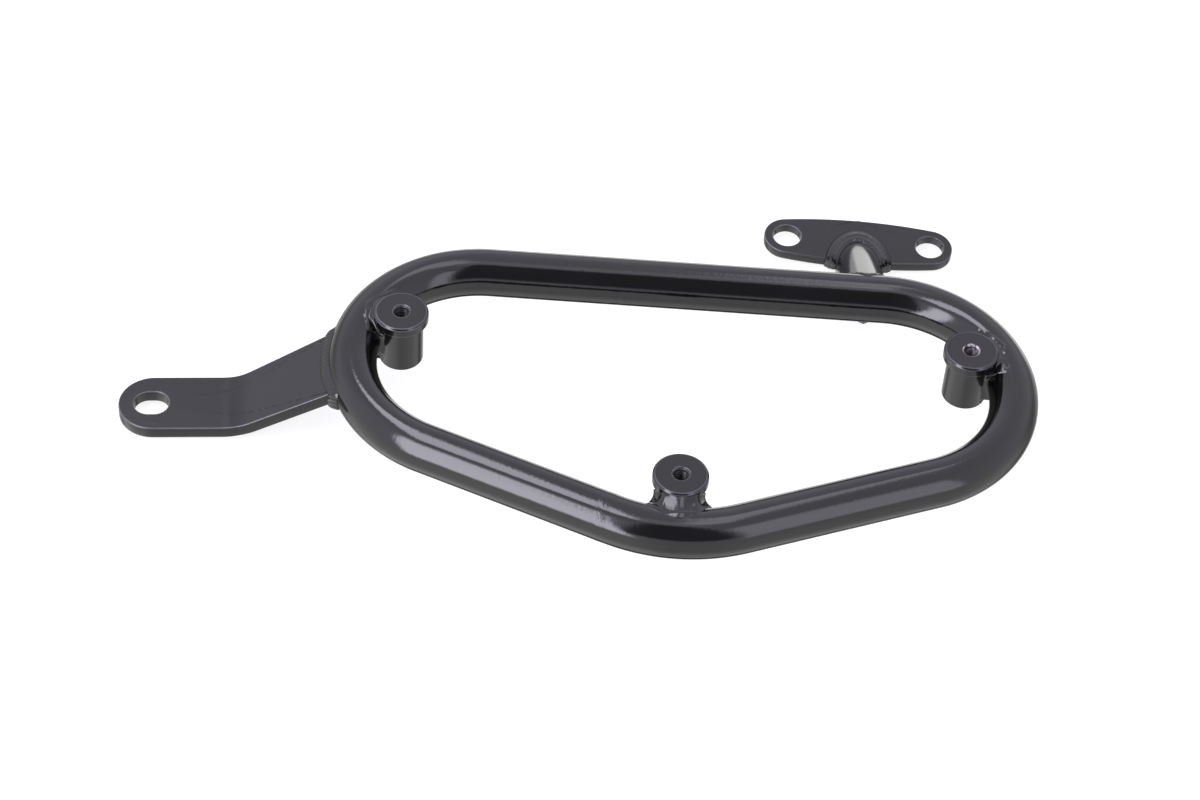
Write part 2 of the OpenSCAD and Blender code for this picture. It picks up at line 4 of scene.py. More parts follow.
import bmesh
import bpy
import numpy as np
from mathutils import Matrix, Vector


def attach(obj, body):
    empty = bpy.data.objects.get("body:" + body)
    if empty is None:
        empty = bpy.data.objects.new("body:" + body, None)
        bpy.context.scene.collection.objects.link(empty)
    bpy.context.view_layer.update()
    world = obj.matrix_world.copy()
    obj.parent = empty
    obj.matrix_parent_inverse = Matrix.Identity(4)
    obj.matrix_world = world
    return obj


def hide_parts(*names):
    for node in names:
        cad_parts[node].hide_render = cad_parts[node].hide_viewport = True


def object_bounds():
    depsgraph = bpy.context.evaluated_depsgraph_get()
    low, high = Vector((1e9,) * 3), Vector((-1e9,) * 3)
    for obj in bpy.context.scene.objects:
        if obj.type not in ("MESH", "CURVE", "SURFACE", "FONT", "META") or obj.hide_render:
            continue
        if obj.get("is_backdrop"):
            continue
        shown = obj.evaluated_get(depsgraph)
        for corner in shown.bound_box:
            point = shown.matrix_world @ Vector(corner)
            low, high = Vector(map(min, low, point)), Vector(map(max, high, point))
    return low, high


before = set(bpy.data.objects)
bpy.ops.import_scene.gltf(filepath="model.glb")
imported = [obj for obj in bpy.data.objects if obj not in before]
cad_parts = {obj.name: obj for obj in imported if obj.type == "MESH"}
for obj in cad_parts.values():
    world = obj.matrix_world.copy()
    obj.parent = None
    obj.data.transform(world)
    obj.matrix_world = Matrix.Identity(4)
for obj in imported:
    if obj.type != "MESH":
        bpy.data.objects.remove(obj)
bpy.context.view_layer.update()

TAU = 2 * np.pi

# Sizes of the part, as in its source
TUBE_R = 9.0
FRONT_BEND_R = 62.0
END_BEND_R = 47.6
BOSS_TOP, BOSS_L = 11.2, 23.6
HEAD_R, HEAD_H = 10.1, 3.9
BODY_R = 8.15
HEAD_CHAMFER, FOOT_CHAMFER = 0.7, 0.6
THREAD_R, THREAD_ROOT_R, THREAD_PITCH, MOUTH_R = 2.5, 3.05, 1.0, 3.7
HEAD_FLOOR, BOSS_FOOT = BOSS_TOP - HEAD_H, BOSS_TOP - BOSS_L
FRONT_BOSS_IN = TUBE_R + BODY_R + 1.2
END_BOSS_IN = TUBE_R + BODY_R - 3.1
FRONT_Y = FRONT_BEND_R - FRONT_BOSS_IN
REAR_Y = 142 - 18 - FRONT_BOSS_IN
END_X = (262 - 18) / 2 - END_BEND_R
END_Y = REAR_Y - END_BEND_R
BEND_GAP = np.hypot(END_X, END_Y - FRONT_Y)
SIDE_TURN = (np.pi / 2 + np.arctan2(END_Y - FRONT_Y, END_X)
             - np.arccos((FRONT_BEND_R - END_BEND_R) / BEND_GAP))
BOSS_TURN = np.radians(22.7)
SEAM_AT, SEAM_HALF, SEAM_H = 2.7, 2.7, 0.15
STRAP_T, STRAP_W, STRAP_DROP, STRAP_LAND, CRANK_R = 5.0, 26.0, 19.0, 1.2, 20.0
STRAP_FLARE, STRAP_TURN, STRAP_SHIFT = np.radians(3.3), np.radians(5.7), 1.6
SLOT_W, SLOT_L, EYE_WALL = 11.0, 13.0, 5.6
STRAP_LEG, STUB_LEG, FLANGE_LEG, CROWN = 3.4, 3.2, 4.4, 0.12
FLANGE_T, HOLE_SPAN, HOLE_R, FLANGE_END_R, FLANGE_MID = 4.0, 56.4, 5.5, 9.0, 22.2
FLANGE_X, FLANGE_BACK, FLANGE_DROP = 67.8, 52.1, 20.0
FLANGE_TILT, FLANGE_TURN = np.radians(3.4), np.radians(-1.2)
STUB_R, STUB_FALL = 9.0, np.radians(29.5)
# Place, way out and radius of each bead of spatter
SPATTER = [((-47.9, 102.57, 8.46), (0, -0.342, 0.94), 0.42),
           ((-40.05, 102.21, 8.31), (0, -0.383, 0.924), 0.5),
           ((-26.61, -14.33, 8.83), (-0.071, -0.177, 0.982), 0.55)]
# Radius that the coat leaves on the edges of flat bars and turned parts
EDGE_R = 0.45
# Radius on the broken edges and in the inner corners of turned parts
BROKEN_R, CORNER_R = 0.58, 0.3
# Rounds of a search by steps or by halving
ROUNDS = 30


# ---------------------------------------------------------------- mesh helpers

def unit(v):
    """Each vector over its length."""
    return v / np.maximum(np.linalg.norm(v, axis=-1, keepdims=True), 1e-12)


def vec(x, y, z):
    """Three arrays or numbers of one shape, joined into points."""
    x, y, z = np.broadcast_arrays(x, y, z)
    return np.stack([x, y, z], axis=-1).astype(float)


def turned(points, angle, place=(0, 0, 0)):
    """Points turned about Z by an angle, then moved to a place."""
    c, s = np.cos(angle), np.sin(angle)
    x, y = points[..., 0] * c - points[..., 1] * s, points[..., 0] * s + points[..., 1] * c
    return vec(x, y, points[..., 2]) + np.asarray(place, float)


def ease(x, start, end):
    """0 below start, 1 above end, and the smooth cubic between."""
    s = np.clip((x - start) / (end - start), 0, 1)
    return s * s * (3 - 2 * s)


def wander(a, b, seed, waves=14, reach=(0.5, 3.0)):
    """Gentle unevenness in -1..1: a sum of sine waves over two parameters, with
    directions, lengths and phases from a seeded generator."""
    rng = np.random.default_rng(seed)
    total = 0
    for _ in range(waves):
        angle, pace, phase = rng.uniform(0, TAU), rng.uniform(*reach), rng.uniform(0, TAU)
        total = total + np.sin(pace * (a * np.cos(angle) + b * np.sin(angle)) + phase)
    return total / np.sqrt(waves * 2)


def grid_faces(rows, cols, wrap_rows, wrap_cols):
    """Quads between the neighbours of a grid of points kept row by row."""
    i = np.arange(rows if wrap_rows else rows - 1)[:, None]
    j = np.arange(cols if wrap_cols else cols - 1)[None, :]
    k, m = (i + 1) % rows, (j + 1) % cols
    quads = np.stack([i * cols + j, i * cols + m, k * cols + m, k * cols + j], axis=-1)
    return quads.reshape(-1, 4)


def surface(name, grid, wrap_rows=False, wrap_cols=True, ends=(False, False), sides=False,
            bare=None, thin_coat_and_painted_light=None):
    """A mesh from a grid of points, rows by columns. ends closes the first and last rows
    with a fan to their middle, sides the first and last columns. bare says which quads
    take the second finish, and thin_coat_and_painted_light how thin the coat is at each
    point, which also paints highlights on edges and painted shade down a bore."""
    rows, cols = grid.shape[:2]
    points = [grid.reshape(-1, 3)]
    quads = grid_faces(rows, cols, wrap_rows, wrap_cols)
    marks = np.zeros(len(quads), int) if bare is None else bare.reshape(-1).astype(int)
    index = np.arange(rows * cols).reshape(rows, cols)
    loops = []
    if ends[0]:
        loops.append(index[0][::-1])
    if ends[1]:
        loops.append(index[-1])
    if sides:
        loops += [index[:, 0], index[::-1, -1]]
    fans, count = [], rows * cols
    for loop in loops:
        points.append(grid.reshape(-1, 3)[loop].mean(axis=0, keepdims=True))
        after = np.roll(loop, -1)
        fans.append(np.stack([loop, after, np.full(len(loop), count)], axis=-1))
        count += 1
    fans = np.concatenate(fans) if fans else np.zeros((0, 3), int)
    return make_mesh(name, np.concatenate(points), quads, fans, marks, thin_coat_and_painted_light)


def make_mesh(name, points, quads, fans, marks, thin_coat_and_painted_light=None):
    """The mesh object of quads and triangles over points in millimetres."""
    mesh = bpy.data.meshes.new(name)
    mesh.vertices.add(len(points))
    mesh.vertices.foreach_set("co", (points / 1000).astype(np.float32).ravel())
    corners = np.concatenate([quads.ravel(), fans.ravel()]).astype(np.int32)
    starts = np.concatenate([np.arange(len(quads)) * 4,
                             len(quads) * 4 + np.arange(len(fans)) * 3]).astype(np.int32)
    mesh.loops.add(len(corners))
    mesh.loops.foreach_set("vertex_index", corners)
    mesh.polygons.add(len(starts))
    mesh.polygons.foreach_set("loop_start", starts)
    mesh.polygons.foreach_set("material_index", np.concatenate(
        [marks, np.zeros(len(fans), int)]).astype(np.int32))
    mesh.polygons.foreach_set("use_smooth", np.ones(len(starts), bool))
    mesh.update(calc_edges=True)
    if thin_coat_and_painted_light is not None:
        thin_and_lit = np.zeros(len(points), np.float32)
        thin_and_lit[:thin_coat_and_painted_light.size] = thin_coat_and_painted_light.ravel()
        mesh.attributes.new("thin_coat_and_painted_light", "FLOAT", "POINT").data.foreach_set("value", thin_and_lit)
    thing = bpy.data.objects.new(name, mesh)
    bpy.context.scene.collection.objects.link(thing)
    work = bmesh.new()
    work.from_mesh(mesh)
    bmesh.ops.remove_doubles(work, verts=work.verts, dist=1e-7)
    bmesh.ops.recalc_face_normals(work, faces=work.faces)
    work.to_mesh(mesh)
    work.free()
    return thing


def finish_piece(thing, slot, nodes, *finishes):
    """Gives a piece its finishes and its ride, and hides the nodes that it stands for. The
    slot is not used.
    """
    for finish in finishes:
        thing.data.materials.append(finish)
    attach(thing, "root")
    if nodes:
        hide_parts(*nodes)


# ---------------------------------------------------------------- finishes

class Val:
    """A socket's value in a shader. The operators add Math nodes."""

    def __init__(self, nodes, socket):
        self.nodes, self.socket = nodes, socket

    def math(self, operation, *others):
        """A Math node on this value and others."""
        return self.nodes.add("ShaderNodeMath", {"operation": operation}, self, *others)

    def __add__(self, other):
        return self.math("ADD", other)

    def __sub__(self, other):
        return self.math("SUBTRACT", other)

    def __mul__(self, other):
        return self.math("MULTIPLY", other)

    def __truediv__(self, other):
        return self.math("DIVIDE", other)

    def __rsub__(self, other):
        return self.nodes.add("ShaderNodeMath", {"operation": "SUBTRACT"}, other, self)

    __radd__ = __add__
    __rmul__ = __mul__

    def between(self, low, high):
        """0 below low, 1 above high, smooth between."""
        return self.nodes.add("ShaderNodeMapRange", {"interpolation_type": "SMOOTHSTEP"},
                              self, low, high, 0.0, 1.0)


class Nodes:
    """A node tree, with one method that adds any node."""

    def __init__(self, tree):
        self.tree = tree
        tree.nodes.clear()

    def add(self, kind, settings=None, *values, out=0, **named):
        """Adds a node: its settings first, then values or links of its sockets, in the
        sockets' order, where None leaves one out, or by name. Returns the output with
        that name or number."""
        node = self.tree.nodes.new(kind)
        for key, value in (settings or {}).items():
            setattr(node, key, value)
        pairs = list(enumerate(values))
        pairs += [(key.replace("_", " "), value) for key, value in named.items()]
        for key, value in pairs:
            if isinstance(value, Val):
                self.tree.links.new(value.socket, node.inputs[key])
            elif value is not None:
                node.inputs[key].default_value = value
        return Val(self, node.outputs[out]) if len(node.outputs) else None

    def mixed(self, factor, low, high):
        """A colour that goes from low to high with a factor. The two colours are a Mix
        node's sockets 6 and 7, after its five for numbers and vectors."""
        return self.add("ShaderNodeMix", {"data_type": "RGBA"}, factor, *[None] * 5,
                        low, high, out=2)


def new_finish(name):
    """A material and its empty node tree."""
    finish = bpy.data.materials.new(name)
    finish.use_nodes = True
    return finish, Nodes(finish.node_tree)


# Coat that is thin over an edge, whose grey is also a painted highlight, and overspray in a
# thread
THIN_COAT_AND_HIGHLIGHT = (0.085, 0.082, 0.095, 1)
OVERSPRAY = (0.006, 0.006, 0.0065, 1)


def powder_coat(name, tone=0.0014, gloss=0.08, peel=1.0, pooled=0.0):
    """Semi-gloss black powder coat: near-black colour that shifts a little, a broad change
    of gloss, orange peel about a millimetre across under a finer grain, and a few specks
    of dust. The coat is greyer on the edges that the thin_coat_and_painted_light attribute
    marks: it is thinner there, and the grey is also a painted highlight. pooled adds the
    soft lumps of coat that lies over a weld."""
    finish, n = new_finish(name)
    place = n.add("ShaderNodeTexCoord", out="Object")
    broad = n.add("ShaderNodeTexNoise", {}, Vector=place, Scale=38.0, Detail=2.0)
    waves = n.add("ShaderNodeTexNoise", {}, Vector=place, Scale=720.0, Detail=1.5,
                  Roughness=0.4)
    grain = n.add("ShaderNodeTexNoise", {}, Vector=place, Scale=3200.0, Detail=1.0)
    dust = n.add("ShaderNodeTexVoronoi", {"feature": "F1"}, Vector=place, Scale=95.0)
    specks = 1.0 - dust.between(0.012, 0.045)
    thin_coat_and_painted_light = n.add("ShaderNodeAttribute", {"attribute_name": "thin_coat_and_painted_light"}, out="Fac")
    # Share of the edge grey: thinner coat, and a painted highlight
    thin_and_lit = thin_coat_and_painted_light * broad.between(0.2, 0.65)
    black = n.mixed(broad.between(0.35, 0.7), (tone, tone * 0.97, tone * 1.15, 1),
                    (tone * 1.7, tone * 1.62, tone * 1.95, 1))
    height = waves * 0.55 + grain * 0.1 + specks * 0.35
    if pooled:
        lumps = n.add("ShaderNodeTexNoise", {}, Vector=place, Scale=260.0, Detail=2.0)
        height = height + lumps * pooled
    bump = n.add("ShaderNodeBump", {}, Strength=0.22 * peel, Distance=0.00016,
                 Height=height)
    rough = gloss + broad * 0.05 + specks * 0.25 + grain * 0.02 + thin_and_lit * 0.15
    shader = n.add("ShaderNodeBsdfPrincipled", {}, Normal=bump, Roughness=rough,
                   Base_Color=n.mixed(thin_and_lit, black, THIN_COAT_AND_HIGHLIGHT))
    n.add("ShaderNodeOutputMaterial", {}, shader)
    return finish


def thread_metal(name, colour, tarnish_and_shade, coated):
    """Cut thread: plated steel, part covered by overspray, with fine scratches, darker in
    patches, and with painted shade down the hole. The thin_coat_and_painted_light
    attribute is 1 at the mouth and falls below, towards the painted shade."""
    finish, n = new_finish(name)
    place = n.add("ShaderNodeTexCoord", out="Object")
    patches = n.add("ShaderNodeTexNoise", {}, Vector=place, Scale=420.0, Detail=3.0)
    thin_coat_and_painted_light = n.add("ShaderNodeAttribute", {"attribute_name": "thin_coat_and_painted_light"}, out="Fac")
    scratch = n.add("ShaderNodeTexNoise", {}, Vector=place, Scale=5200.0, Detail=2.0)
    # Tarnish in patches, and painted shade where the attribute falls down the bore
    dulled_and_shaded = 1.0 - thin_coat_and_painted_light * (1.0 - patches.between(0.4, 0.65))
    spray = patches.between(coated, coated + 0.12)
    shade = n.mixed(spray, n.mixed(dulled_and_shaded, (*colour, 1), (*tarnish_and_shade, 1)), OVERSPRAY)
    bump = n.add("ShaderNodeBump", {}, Strength=0.3, Distance=0.00005, Height=scratch)
    shader = n.add("ShaderNodeBsdfPrincipled", {}, Base_Color=shade, Normal=bump,
                   Metallic=1.0 - spray, Roughness=0.26 + patches * 0.2)
    n.add("ShaderNodeOutputMaterial", {}, shader)
    return finish


TUBE_COAT = powder_coat("tube_coat", gloss=0.075)
PLATE_COAT = powder_coat("plate_coat", gloss=0.10, peel=1.15)
BOSS_COAT = powder_coat("boss_coat", gloss=0.085, peel=0.9)
WELD_COAT = powder_coat("weld_coat", gloss=0.07, peel=1.1, pooled=0.5)
GROUND_COAT = powder_coat("ground_weld_coat", gloss=0.10, peel=2.0, pooled=0.8)
DARK_THREAD = thread_metal("dark_thread", (0.10, 0.10, 0.105), (0.02, 0.02, 0.02), 0.42)
BARE_THREAD = thread_metal("bare_thread", (0.52, 0.49, 0.52), (0.05, 0.042, 0.05), 0.53)


# ---------------------------------------------------------------- the loop's tube

def nearest_on_bend(p, centre, bend_r):
    """The tube's skin nearest to a point: out from the nearest point of the centreline."""
    d = p - centre
    core = centre + bend_r * unit(vec(d[..., 0], d[..., 1], 0 * d[..., 2]))
    return core + TUBE_R * unit(p - core)


def loop_path():
    """Points and outward directions of the loop's centreline, round to the right from
    the front bend: each arc is followed by the straight run that touches it."""
    places, outs = [], []
    bend_step, run_step = 1.1, 1.6

    def arc(cx, cy, r, start, end):
        count = int(abs(end - start) * r / bend_step)
        a = np.linspace(start, end, count, endpoint=False)
        places.append(np.stack([cx + r * np.cos(a), cy + r * np.sin(a)], -1))
        outs.append(np.stack([np.cos(a), np.sin(a)], -1))

    def run(start, end, out):
        count = int(np.linalg.norm(end - start) / run_step)
        t = np.linspace(0, 1, count, endpoint=False)[:, None]
        places.append(start + (end - start) * t)
        outs.append(np.broadcast_to(out, (len(t), 2)))

    side = np.array([np.sin(SIDE_TURN), -np.cos(SIDE_TURN)])
    front, end = np.array([0, FRONT_Y]), np.array([END_X, END_Y])
    flip, rear = np.array([-1, 1]), np.array([0, END_BEND_R])
    arc(0, FRONT_Y, FRONT_BEND_R, -np.pi / 2 - SIDE_TURN, -np.pi / 2 + SIDE_TURN)
    run(front + FRONT_BEND_R * side, end + END_BEND_R * side, side)
    arc(END_X, END_Y, END_BEND_R, SIDE_TURN - np.pi / 2, np.pi / 2)
    run(end + rear, end * flip + rear, np.array([0, 1]))
    arc(-END_X, END_Y, END_BEND_R, np.pi / 2, 3 * np.pi / 2 - SIDE_TURN)
    run((end + END_BEND_R * side) * flip, (front + FRONT_BEND_R * side) * flip, side * flip)
    return np.concatenate(places), np.concatenate(outs)


def loop_tube():
    """A circle of the tube's radius carried round the loop's centreline."""
    place, out = loop_path()
    a = np.linspace(0, TAU, 96, endpoint=False)
    x = place[:, :1] + TUBE_R * out[:, :1] * np.cos(a)
    y = place[:, 1:] + TUBE_R * out[:, 1:] * np.cos(a)
    grid = vec(x, y, TUBE_R * np.sin(a)[None])
    finish_piece(surface("loop_skin", grid, wrap_rows=True), "tube_coat", ["loop_tube"],
                 TUBE_COAT)


def side_run(z, a, r):
    """A point by the left side run: z along it from the front bend, a round it, at r."""
    side = np.array([-np.sin(SIDE_TURN), -np.cos(SIDE_TURN)])
    along = np.array([-np.cos(SIDE_TURN), np.sin(SIDE_TURN)])
    x = (FRONT_BEND_R + r * np.cos(a)) * side[0] + z * along[0]
    y = (FRONT_BEND_R + r * np.cos(a)) * side[1] + z * along[1] + FRONT_Y
    return vec(x, y, r * np.sin(a))


def loop_seam_weld():
    """The butt weld, ground nearly flush: a low band whose height eases in from both
    edges and carries the uneven marks of grinding under the coat."""
    z = np.concatenate([[-SEAM_HALF - 0.2], np.linspace(-SEAM_HALF, SEAM_HALF, 60),
                        [SEAM_HALF + 0.2]])
    a = np.linspace(0, TAU, 300, endpoint=False)
    z, a = np.meshgrid(z, a, indexing="ij")
    hill = ease(SEAM_HALF - np.abs(z), 0, 2.2)
    x, y = TUBE_R * np.cos(a), TUBE_R * np.sin(a)
    rough = wander(z * 3 + x * 1.5, y * 3 - x * 1.5, 3, 30, (1.2, 3.6))
    high = hill * (SEAM_H * 0.25 + 0.011 * rough) - 0.08 * (np.abs(z) > SEAM_HALF)
    grid = side_run(SEAM_AT + z, a, TUBE_R + high)
    finish_piece(surface("seam_weld", grid, ends=(True, True)), "weld_coat",
                 ["loop_seam_weld"], GROUND_COAT)


def spatter():
    """Beads of spatter under the coat: each a low dome about a millimetre across, standing
    square on the tube, its skirt turned in under it."""
    lean = np.linspace(0, np.radians(112), 9)[:, None]
    a = np.linspace(0, TAU, 14, endpoint=False)
    domes = []
    for spot, out, r in SPATTER:
        out = unit(np.asarray(out, float))
        along = unit(np.cross(out, [0.3, 0.9, 0.2]))
        across = np.cross(out, along)
        x, y, z = np.sin(lean) * np.cos(a), np.sin(lean) * np.sin(a), 0.7 * np.cos(lean)
        dome = x[..., None] * along + y[..., None] * across + z[..., None] * out
        domes.append(np.asarray(spot) + r * dome)
    grid = np.stack(domes)
    count, rows, cols = grid.shape[:3]
    dome_size = rows * cols
    quads = np.concatenate([grid_faces(rows, cols, False, True) + i * dome_size
                            for i in range(count)])
    # A fan closes each foot, from its last ring to a point that follows all the rings
    foot = (rows - 1) * cols + np.arange(cols)
    after = np.roll(foot, -1)
    fans = np.concatenate([
        np.stack([foot + i * dome_size, after + i * dome_size,
                  np.full(cols, count * dome_size + i)], -1) for i in range(count)])
    points = np.concatenate([grid.reshape(-1, 3), grid[:, -1].mean(axis=1)])
    thing = make_mesh("spatter_beads", points, quads, fans, np.zeros(len(quads), int))
    finish_piece(thing, "weld_coat", [], WELD_COAT)


# ---------------------------------------------------------------- the bosses

def rounded(corners, radii, steps=5, guard=0.06):
    """A closed outline with each corner replaced by an arc, and a guard point just
    outside each end of the arc so that the flats shade flat."""
    corners = np.asarray(corners, float)
    line = []
    for i, radius in enumerate(radii):
        p, q, r = corners[i - 1], corners[i], corners[(i + 1) % len(corners)]
        back, on = unit(p - q), unit(r - q)
        if radius == 0:
            line.append(q)
            continue
        half = np.arccos(np.clip(back @ on, -1, 1)) / 2
        reach = radius / np.tan(half)
        middle = q + unit(back + on) * radius / np.sin(half)
        line.append(q + back * (reach + guard))
        a, b = unit(q + back * reach - middle), unit(q + on * reach - middle)
        sweep = np.arccos(np.clip(a @ b, -1, 1))
        for s in np.linspace(0, 1, steps + 1):
            line.append(middle + radius * (np.sin((1 - s) * sweep) * a
                                           + np.sin(s * sweep) * b) / np.sin(sweep))
        line.append(q + on * (reach + guard))
    return np.array(line)


def boss(name, node, angle, place, thread):
    """A turned boss: its outline revolved, with a helical groove cut into the bore, whose
    depth is a rounded V over one pitch and fades out at both ends of the thread. The
    mouth is a quarter round lip, which shows the thread's metal."""
    arc_steps = 8
    edges = np.array([[HEAD_R, BOSS_TOP - HEAD_CHAMFER], [HEAD_R - HEAD_CHAMFER, BOSS_TOP]])
    lip = MOUTH_R - THREAD_R
    outer = rounded(
        [[THREAD_R + 0.1, BOSS_FOOT], [BODY_R - FOOT_CHAMFER, BOSS_FOOT],
         [BODY_R, BOSS_FOOT + FOOT_CHAMFER], [BODY_R, HEAD_FLOOR], [HEAD_R, HEAD_FLOOR],
         *edges, [THREAD_R, BOSS_TOP], [THREAD_R, BOSS_FOOT]],
        [0, 0.2, 0.2, CORNER_R, CORNER_R, BROKEN_R, BROKEN_R, lip, 0], arc_steps)[:-1]
    deep = BOSS_TOP - lip
    bore = np.stack([np.full(176, THREAD_R), np.linspace(deep - 0.12, BOSS_FOOT, 176)], -1)
    line = np.concatenate([outer, bore])
    # The coat is thin on the arcs of the head's edges, but not on the flats beside them,
    # and its grey there is also a painted highlight. The corner under the head takes a
    # painted highlight line
    off = np.linalg.norm(line[:, None] - edges[None], axis=-1).min(axis=1)
    low = np.linalg.norm(line - [HEAD_R, HEAD_FLOOR], axis=-1)
    thin_and_lit = np.where(off < 0.27, 0.55, 0) + np.where(low < CORNER_R + 0.01, 0.9, 0)
    turn = np.linspace(0, TAU, 128, endpoint=False)
    r, z = line[:, :1], line[:, 1:]
    phase = np.abs(((z / THREAD_PITCH - turn / TAU) % 1) * 2 - 1)
    groove = (THREAD_ROOT_R - THREAD_R) * ease(phase, 0.1, 0.92)
    fade = ease(deep + 0.25 - z, 0, 0.4) * ease(z - BOSS_FOOT, 0.2, 1.2)
    in_bore = (np.arange(len(line)) >= len(outer))[:, None]
    in_lip = (np.arange(len(line)) >= len(outer) - arc_steps)[:, None]
    r = r + np.where(in_bore, groove * fade, 0)
    grid = turned(vec(r * np.cos(turn), r * np.sin(turn), z), angle, place)
    metal = np.broadcast_to(in_lip, (len(line), len(turn)))
    # Painted light on the thread: bright at the mouth, fading to painted shade down the
    # bore
    thin_and_lit = thin_and_lit + in_lip[:, 0] * (1 - 0.9 * ease(BOSS_TOP - line[:, 1], 0.6, 3.2))
    thin_coat_and_painted_light = np.broadcast_to(thin_and_lit[:, None], metal.shape)
    finish_piece(surface(name, grid, wrap_rows=True, bare=metal, thin_coat_and_painted_light=thin_coat_and_painted_light), "boss_coat",
                 [node], BOSS_COAT, thread)


def end_boss_place(side):
    """The turn and place of an end boss: its X points from the end bend's centre."""
    turn = BOSS_TURN if side > 0 else np.pi - BOSS_TURN
    reach = END_BEND_R - END_BOSS_IN
    return turn, (side * END_X + reach * np.cos(turn), END_Y + reach * np.sin(turn), 0)


# ---------------------------------------------------------------- the bosses' welds

# Depth of the welds' edges under the skin of what they join
SUNK = 0.3
# Length along the tube, turn about the boss, dish of the face, drop of the upper edge
# towards its ends, and height of the lower edge over the boss's foot
WEB_SPAN, WEB_TURN, WEB_DISH, WEB_FALL, WEB_FOOT = 27.0, np.radians(72), 0.6, 5.0, 1.6
# Turn of the toe down the tube at its ends, half height of the notches, waist at the
# ends, and least height of the weld over the tube
WEB_LEAN, WEB_NOTCH, WEB_WAIST, WEB_SKIN = np.radians(17), 1.5, 1.1, 0.45
RIPPLE_PITCH = 2.3


def polar(r, turn, z):
    """A point at a radius and turn about Z, and a height."""
    return vec(r * np.cos(turn), r * np.sin(turn), z)


def in_tube(bend_in, bend_r, along, round_):
    """A point just under the tube's skin, seen from the boss's axis."""
    r = bend_r + (TUBE_R - SUNK) * np.cos(round_)
    return polar(r, along, (TUBE_R - SUNK) * np.sin(round_)) - np.array([bend_in, 0, 0])


def over_tube(p, bend_in, bend_r, height):
    """Points lifted straight out of the tube to at least a height over its skin."""
    share = bend_r / np.hypot(p[..., 0] + bend_in, p[..., 1])
    core = vec((p[..., 0] + bend_in) * share - bend_in, p[..., 1] * share, 0)
    off = np.linalg.norm(p - core, axis=-1)
    want = np.maximum(off, TUBE_R + height)
    return core + (p - core) * (want / off)[..., None]


def web_chain(u, upper, bend_in, bend_r, s, slant=0.0):
    """One line of the web's face, from the boss at s = 0 to the tube at s = 1: a straight
    line between the two that sinks by a cubic, deepest at a third of it. It drops towards
    the weld's ends, and draws in there by a parabola, as a waist. On top its toe makes a
    V on the tube, past the crest in the middle and back from it at the ends, and slant
    draws the end at u = 1 back further."""
    turn, along = u * WEB_TURN, u * WEB_SPAN / 2 / bend_r
    fall = WEB_FALL * ease(np.abs(u), 0.45, 1) * (1 if upper else 0.12)
    if upper:
        z = BOSS_TOP - HEAD_CHAMFER - SUNK - fall
        start = polar(HEAD_R - SUNK, turn, z)
        inside = polar(BODY_R - SUNK, turn, np.minimum(z, HEAD_FLOOR + SUNK))
        toe = np.radians(83 + 27 * np.abs(u) ** 1.2) + slant * ease(u, 0.35, 0.9)
        stop = in_tube(bend_in, bend_r, along, toe)
    else:
        z = WEB_FOOT + BOSS_FOOT + fall
        start = polar(BODY_R - SUNK, turn, z)
        inside = polar(BODY_R - 2 * SUNK, turn, z + 1)
        stop = in_tube(bend_in, bend_r, along, np.radians(-95) - WEB_LEAN * u * u)
    # 27 / 4 makes the cubic's greatest value 1
    dip = (-1 if upper else 1) * (27 / 4) * s * (1 - s) ** 2 * WEB_DISH
    waist = -WEB_WAIST * 4 * s * (1 - s) * u * np.abs(u)
    line = start * (1 - s)[..., None] + stop * s[..., None] + vec(0, waist, dip)
    if upper:
        skin = WEB_SKIN * (0.75 + 0.6 * wander(u * 8, s * 1.5, 11, 8, (0.6, 1.4)))
        height = skin * ease(1 - s, 0, 0.3) - SUNK * (1 - ease(1 - s, 0, 0.05))
        line = over_tube(line, bend_in, bend_r, height)
    return line, inside


def web_notch(side, upper, bend_in, bend_r, turn, along, s):
    """One line of the notch at an end of the weld, between the boss and the tube."""
    a = polar(BODY_R - SUNK, side * turn, upper * WEB_NOTCH)
    round_ = np.pi - upper * np.arcsin(WEB_NOTCH / (TUBE_R - SUNK))
    b = in_tube(bend_in, bend_r, side * along, round_)
    return a + s[:, None] * (b - a)


